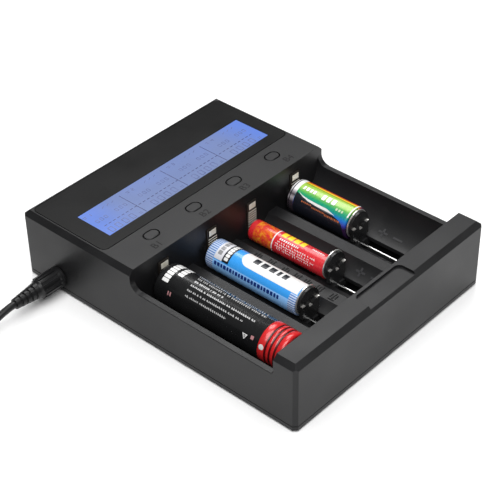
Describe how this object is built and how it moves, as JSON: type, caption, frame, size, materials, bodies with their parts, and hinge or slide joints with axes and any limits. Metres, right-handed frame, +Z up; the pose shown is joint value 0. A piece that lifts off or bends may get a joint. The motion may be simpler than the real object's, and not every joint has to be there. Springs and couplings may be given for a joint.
{
  "type": "multi-bay battery charger",
  "caption": "Desktop charger for round cells such as AA and AAA: open bays with sprung sliders, a key for each bay, a lit display and a plugged-in low-voltage lead with cells in place.",
  "frame": {"origin": "on the surface it stands on, under the middle of the housing", "axes": "+Z up, +Y from the front rail to the display, +X to the right seen from the front"},
  "size_m": [0.2143, 0.1922, 0.0361],
  "materials": {
    "housing_plastic": "fine moulded texture, satin",
    "display_panel": "smooth semi-gloss",
    "lcd": "lit display glass",
    "diffuser": "white diffuser",
    "circuit_board": "solder mask",
    "black_component": "moulded",
    "ferrite": "matt ferrite",
    "capacitor_can": "sleeved can",
    "key_plastic": "fine moulded texture",
    "slider_plastic": "moulded, satin",
    "nickel_strip": "nickel plated",
    "spring_steel": "drawn wire",
    "polished_rod": "polished",
    "plug_metal": "plated",
    "lead_rubber": "satin flexible plastic",
    "tie_strap": "flexible plastic strap",
    "cell_black": "printed sleeve, satin",
    "cell_blue": "printed sleeve, gloss",
    "cell_red": "printed sleeve, gloss",
    "cell_green": "printed sleeve, gloss",
    "screw_steel": "zinc plated",
    "foot_rubber": "matt"
  },
  "bodies": {
    "charger": {"upper_housing": "housing_plastic", "base_plate": "housing_plastic", "display_panel": "display_panel", "lcd_glass": "lcd", "lcd_backlight": "diffuser", "display_board": "circuit_board", "power_board": "circuit_board", "board_link": "black_component", "controller_chip": "black_component", "inductors": "ferrite", "capacitors": "capacitor_can", "transistors": "black_component", "tact_switches": "black_component", "slider_spring_1": "spring_steel", "slider_spring_2": "spring_steel", "slider_spring_3": "spring_steel", "slider_spring_4": "spring_steel", "guide_rod_1": "polished_rod", "guide_rod_2": "polished_rod", "guide_rod_3": "polished_rod", "guide_rod_4": "polished_rod", "positive_contact_1": "nickel_strip", "positive_contact_2": "nickel_strip", "positive_contact_3": "nickel_strip", "positive_contact_4": "nickel_strip", "dc_socket": "black_component", "dc_socket_pin": "plug_metal", "dc_plug": "lead_rubber", "dc_plug_barrel": "plug_metal", "cord": "lead_rubber", "cord_coil": "lead_rubber", "cord_tie": "tie_strap", "usb_plug_body": "lead_rubber", "usb_plug_shell": "plug_metal", "cell_1": "cell_black", "cell_2": "cell_blue", "cell_3": "cell_red", "cell_4": "cell_green", "case_screws": "screw_steel", "board_screws": "screw_steel", "rubber_feet": "foot_rubber"},
    "key_1": {"button_1": "key_plastic"},
    "key_2": {"button_2": "key_plastic"},
    "key_3": {"button_3": "key_plastic"},
    "key_4": {"button_4": "key_plastic"},
    "carriage_1": {"slider_1": "slider_plastic", "slider_contact_1": "nickel_strip"},
    "carriage_2": {"slider_2": "slider_plastic", "slider_contact_2": "nickel_strip"},
    "carriage_3": {"slider_3": "slider_plastic", "slider_contact_3": "nickel_strip"},
    "carriage_4": {"slider_4": "slider_plastic", "slider_contact_4": "nickel_strip"}
  },
  "joints": [
    {"name": "carriage_1_slide", "type": "slide", "parent": "charger", "child": "carriage_1", "axis": [0, -1, 0], "range_m": [0, 0.0015], "stiffness_N_per_m": 40, "springref_m": -0.02, "deforming": ["slider_spring_1"]},
    {"name": "carriage_2_slide", "type": "slide", "parent": "charger", "child": "carriage_2", "axis": [0, -1, 0], "range_m": [0, 0.0214], "stiffness_N_per_m": 40, "springref_m": -0.02, "deforming": ["slider_spring_2"]},
    {"name": "carriage_3_slide", "type": "slide", "parent": "charger", "child": "carriage_3", "axis": [0, -1, 0], "range_m": [0, 0.0284], "stiffness_N_per_m": 40, "springref_m": -0.02, "deforming": ["slider_spring_3"]},
    {"name": "carriage_4_slide", "type": "slide", "parent": "charger", "child": "carriage_4", "axis": [0, -1, 0], "range_m": [0, 0.0394], "stiffness_N_per_m": 40, "springref_m": -0.02, "deforming": ["slider_spring_4"]},
    {"name": "key_1_press", "type": "slide", "parent": "charger", "child": "key_1", "axis": [0, 0, -1], "range_m": [0, 0.0004], "stiffness_N_per_m": 2000, "springref_m": -0.0002},
    {"name": "key_2_press", "type": "slide", "parent": "charger", "child": "key_2", "axis": [0, 0, -1], "range_m": [0, 0.0004], "stiffness_N_per_m": 2000, "springref_m": -0.0002},
    {"name": "key_3_press", "type": "slide", "parent": "charger", "child": "key_3", "axis": [0, 0, -1], "range_m": [0, 0.0004], "stiffness_N_per_m": 2000, "springref_m": -0.0002},
    {"name": "key_4_press", "type": "slide", "parent": "charger", "child": "key_4", "axis": [0, 0, -1], "range_m": [0, 0.0004], "stiffness_N_per_m": 2000, "springref_m": -0.0002}
  ]
}
